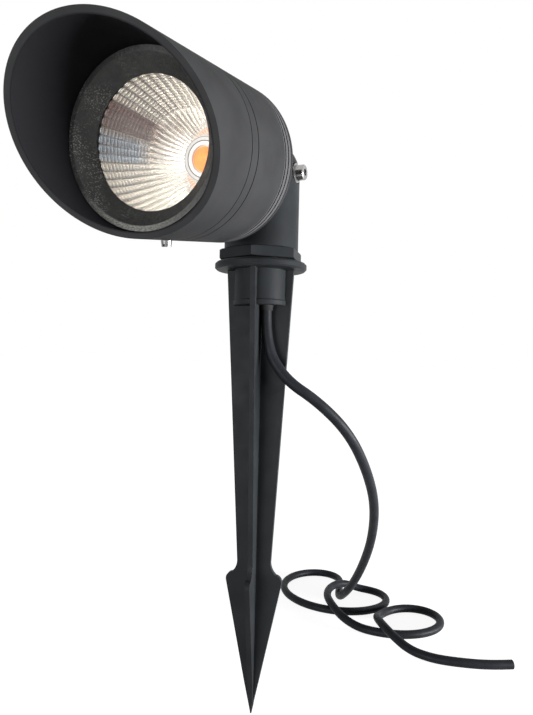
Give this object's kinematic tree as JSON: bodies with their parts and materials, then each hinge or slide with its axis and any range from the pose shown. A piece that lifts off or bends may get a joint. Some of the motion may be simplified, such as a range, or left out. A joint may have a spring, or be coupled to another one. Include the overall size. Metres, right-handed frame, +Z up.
{
  "type": "garden spike spotlight",
  "caption": "Outdoor spotlight with a slanted hood on a tilting, swivelling neck above a four-ribbed ground spike, with a supply cable lying in loose loops.",
  "frame": {"origin": "tip of the ground spike, on its axis", "axes": "+Z up along the spike; the lamp looks towards -Y, 9 degrees below level; +X is the side of the pivot bolt's head"},
  "size_m": [0.1618, 0.3265, 0.2768],
  "materials": {
    "black_plastic": "moulded black plastic, low sheen",
    "black_coat": "cast aluminium under a satin black powder coat",
    "sand_coat": "cast aluminium under a coarse, sparkling black coat",
    "cable_rubber": "matte black rubber",
    "seal_rubber": "soft black rubber",
    "stainless": "machined stainless steel",
    "mirror_coat": "bright metallised facets",
    "clear_glass": "clear toughened glass",
    "phosphor": "orange phosphor",
    "white_plastic": "white plastic",
    "board_metal": "aluminium board with white mask",
    "board_green": "green circuit board",
    "can_metal": "sleeved can",
    "coil_dark": "ferrite and enamelled wire",
    "chip_black": "moulded chip bodies",
    "pad_grey": "grey heat-conducting pad",
    "core_insulation": "brown and blue core insulation"
  },
  "bodies": {
    "stake": {"stake": "black_plastic", "lock_collar": "black_plastic", "cable_bush": "seal_rubber", "cable_inner": "cable_rubber", "cable_cores": "core_insulation", "cable_drop": "cable_rubber", "cable_loops": "cable_rubber", "cable_tail": "cable_rubber"},
    "neck": {"neck": "black_plastic", "stub_ring": "seal_rubber", "pivot_bolt": "stainless", "pivot_nut": "stainless", "pivot_washers": "stainless", "tilt_washers": "white_plastic", "neck_wires": "core_insulation"},
    "head": {"rear_cap": "black_coat", "rear_seal": "seal_rubber", "cap_screws": "stainless", "driver_board": "board_green", "driver_screws": "stainless", "driver_coil": "coil_dark", "driver_capacitors": "can_metal", "driver_chips": "chip_black", "wire_grommet": "seal_rubber", "supply_wires": "core_insulation", "lamp_body": "black_coat", "thermal_pad": "pad_grey", "led_board": "board_metal", "led_phosphor": "phosphor", "led_holder": "white_plastic", "holder_screws": "stainless", "led_wires": "core_insulation", "reflector": "mirror_coat", "glass_gasket": "seal_rubber", "front_glass": "clear_glass", "baffle_ring": "sand_coat"},
    "hood": {"hood": "black_coat", "hood_set_screw": "stainless"}
  },
  "joints": [
    {"name": "neck_swivel", "type": "hinge", "parent": "stake", "child": "neck", "pos_m": [0, 0, 0.217], "axis": [0, 0, 1], "range_deg": [-170, 170]},
    {"name": "head_tilt", "type": "hinge", "parent": "neck", "child": "head", "pos_m": [0, 0, 0.2525], "axis": [-1, 0, 0], "range_deg": [-15, 99]},
    {"name": "hood_turn", "type": "hinge", "parent": "head", "child": "hood", "pos_m": [0, -0.07506, 0.24061], "axis": [0, -0.9877, -0.1564], "range_deg": [-180, 180]}
  ]
}
